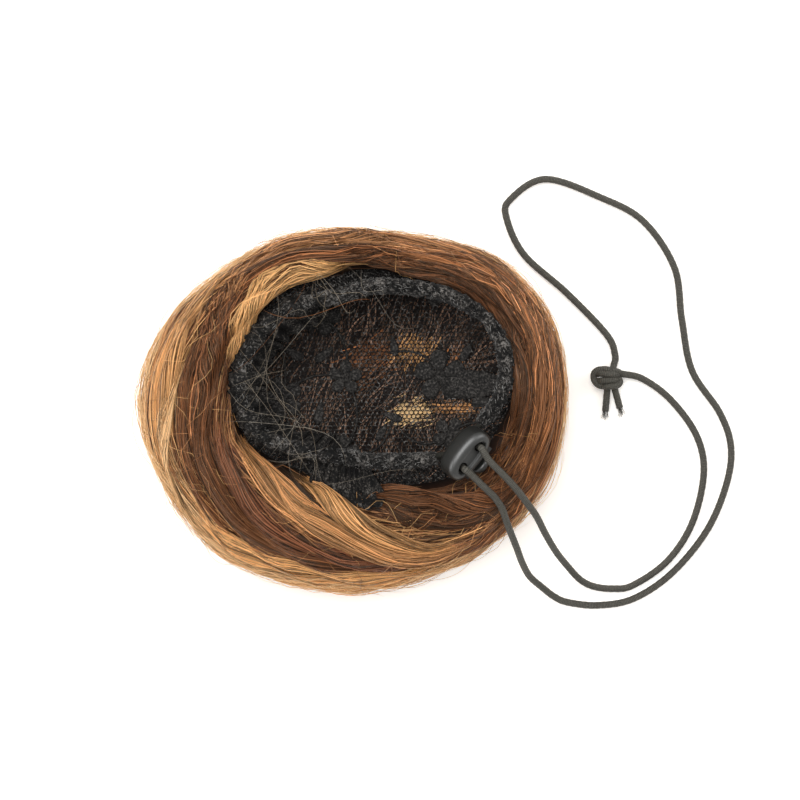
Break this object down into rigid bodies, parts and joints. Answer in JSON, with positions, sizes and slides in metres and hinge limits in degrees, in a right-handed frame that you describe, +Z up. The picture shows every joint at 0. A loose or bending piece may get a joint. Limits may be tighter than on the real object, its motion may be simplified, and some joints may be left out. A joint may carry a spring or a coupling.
{
  "type": "top knot hairpiece with drawstring lace cap",
  "caption": "Ring of swirled brown hair with blond highlights round a lace cap, opening up, with an elastic drawstring, cord lock and knotted loop.",
  "frame": {"origin": "on the surface it lies on, under the middle of the hair's plan outline, without the loose cords", "axes": "+Z up out of the opening, +X along the longer side of the oval towards the loose cord, +Y towards the far side"},
  "size_m": [0.212, 0.1555, 0.0548],
  "materials": {
    "hair": "synthetic hair fibre, brown with blond highlights, soft sheen",
    "lace": "black nylon net with plain floral motifs, matt",
    "casing": "black knitted tape with fuzzy grey flecks, matt",
    "elastic": "braided dark grey elastic cord, matt",
    "cord_lock": "moulded black-grey plastic, satin gloss",
    "button": "moulded black plastic, satin"
  },
  "bodies": {
    "hairpiece": {"hair_bun": "hair", "lace_cap": "lace", "rim_casing": "casing", "channel_cord": "elastic", "toggle_body": "cord_lock", "cord_long_leg": "elastic", "cord_short_leg": "elastic", "cord_knot": "elastic"},
    "lock_button": {"toggle_button": "button"}
  },
  "joints": [
    {"name": "button_press", "type": "slide", "parent": "hairpiece", "child": "lock_button", "axis": [-0.6063, 0.4682, 0.6428], "range_m": [0, 0.001], "stiffness_N_per_m": 400}
  ]
}
